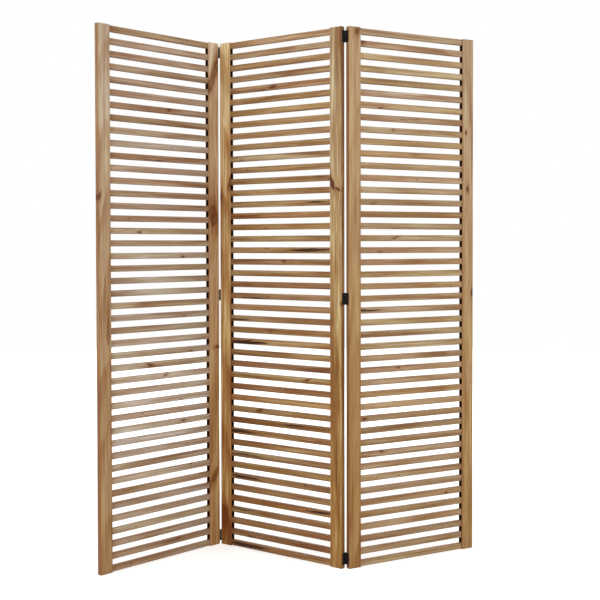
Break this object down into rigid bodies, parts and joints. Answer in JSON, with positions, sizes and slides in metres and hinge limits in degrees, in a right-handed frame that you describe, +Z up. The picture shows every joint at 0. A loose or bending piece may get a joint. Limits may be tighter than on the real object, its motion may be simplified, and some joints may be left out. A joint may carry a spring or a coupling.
{
  "type": "folding slatted room divider",
  "caption": "Free-standing folding screen: grooved timber panels filled with level horizontal slats, joined by black steel butt hinges so that it stands in a zig-zag or folds flat.",
  "frame": {"origin": "on the floor, under the centre of the box that the standing screen fills", "axes": "+Z up; X runs across the front from the left panel to the right panel; +Y points to the back of the screen"},
  "size_m": [1.2448, 0.366, 1.75],
  "materials": {
    "left_panel_pine": "thin satin wash over knotty pine",
    "middle_panel_pine": "thin satin wash over knotty pine, more golden",
    "right_panel_pine": "thin satin wash over knotty pine, paler",
    "hinge_steel": "satin black coating over pressed steel"
  },
  "bodies": {
    "middle_panel": {"middle_panel_left_stile_with_slats": "middle_panel_pine", "middle_panel_right_stile": "middle_panel_pine", "middle_panel_top_rail": "middle_panel_pine", "middle_panel_bottom_rail": "middle_panel_pine", "left_top_hinge_inner_leaf": "hinge_steel", "left_top_hinge_pin": "hinge_steel", "left_middle_hinge_inner_leaf": "hinge_steel", "left_middle_hinge_pin": "hinge_steel", "left_bottom_hinge_inner_leaf": "hinge_steel", "left_bottom_hinge_pin": "hinge_steel", "right_top_hinge_inner_leaf": "hinge_steel", "right_top_hinge_pin": "hinge_steel", "right_middle_hinge_inner_leaf": "hinge_steel", "right_middle_hinge_pin": "hinge_steel", "right_bottom_hinge_inner_leaf": "hinge_steel", "right_bottom_hinge_pin": "hinge_steel"},
    "left_panel": {"left_panel_left_stile_with_slats": "left_panel_pine", "left_panel_right_stile": "left_panel_pine", "left_panel_top_rail": "left_panel_pine", "left_panel_bottom_rail": "left_panel_pine", "left_top_hinge_outer_leaf": "hinge_steel", "left_middle_hinge_outer_leaf": "hinge_steel", "left_bottom_hinge_outer_leaf": "hinge_steel"},
    "right_panel": {"right_panel_left_stile_with_slats": "right_panel_pine", "right_panel_right_stile": "right_panel_pine", "right_panel_top_rail": "right_panel_pine", "right_panel_bottom_rail": "right_panel_pine", "right_top_hinge_outer_leaf": "hinge_steel", "right_middle_hinge_outer_leaf": "hinge_steel", "right_bottom_hinge_outer_leaf": "hinge_steel"}
  },
  "joints": [
    {"name": "left_fold", "type": "hinge", "parent": "middle_panel", "child": "left_panel", "pos_m": [-0.25248, 0.16984, 0.875], "axis": [0, 0, 1], "range_deg": [-80, 100]},
    {"name": "right_fold", "type": "hinge", "parent": "middle_panel", "child": "right_panel", "pos_m": [0.17098, -0.1067, 0.875], "axis": [0, 0, 1], "range_deg": [-63.5, 116.5]}
  ]
}
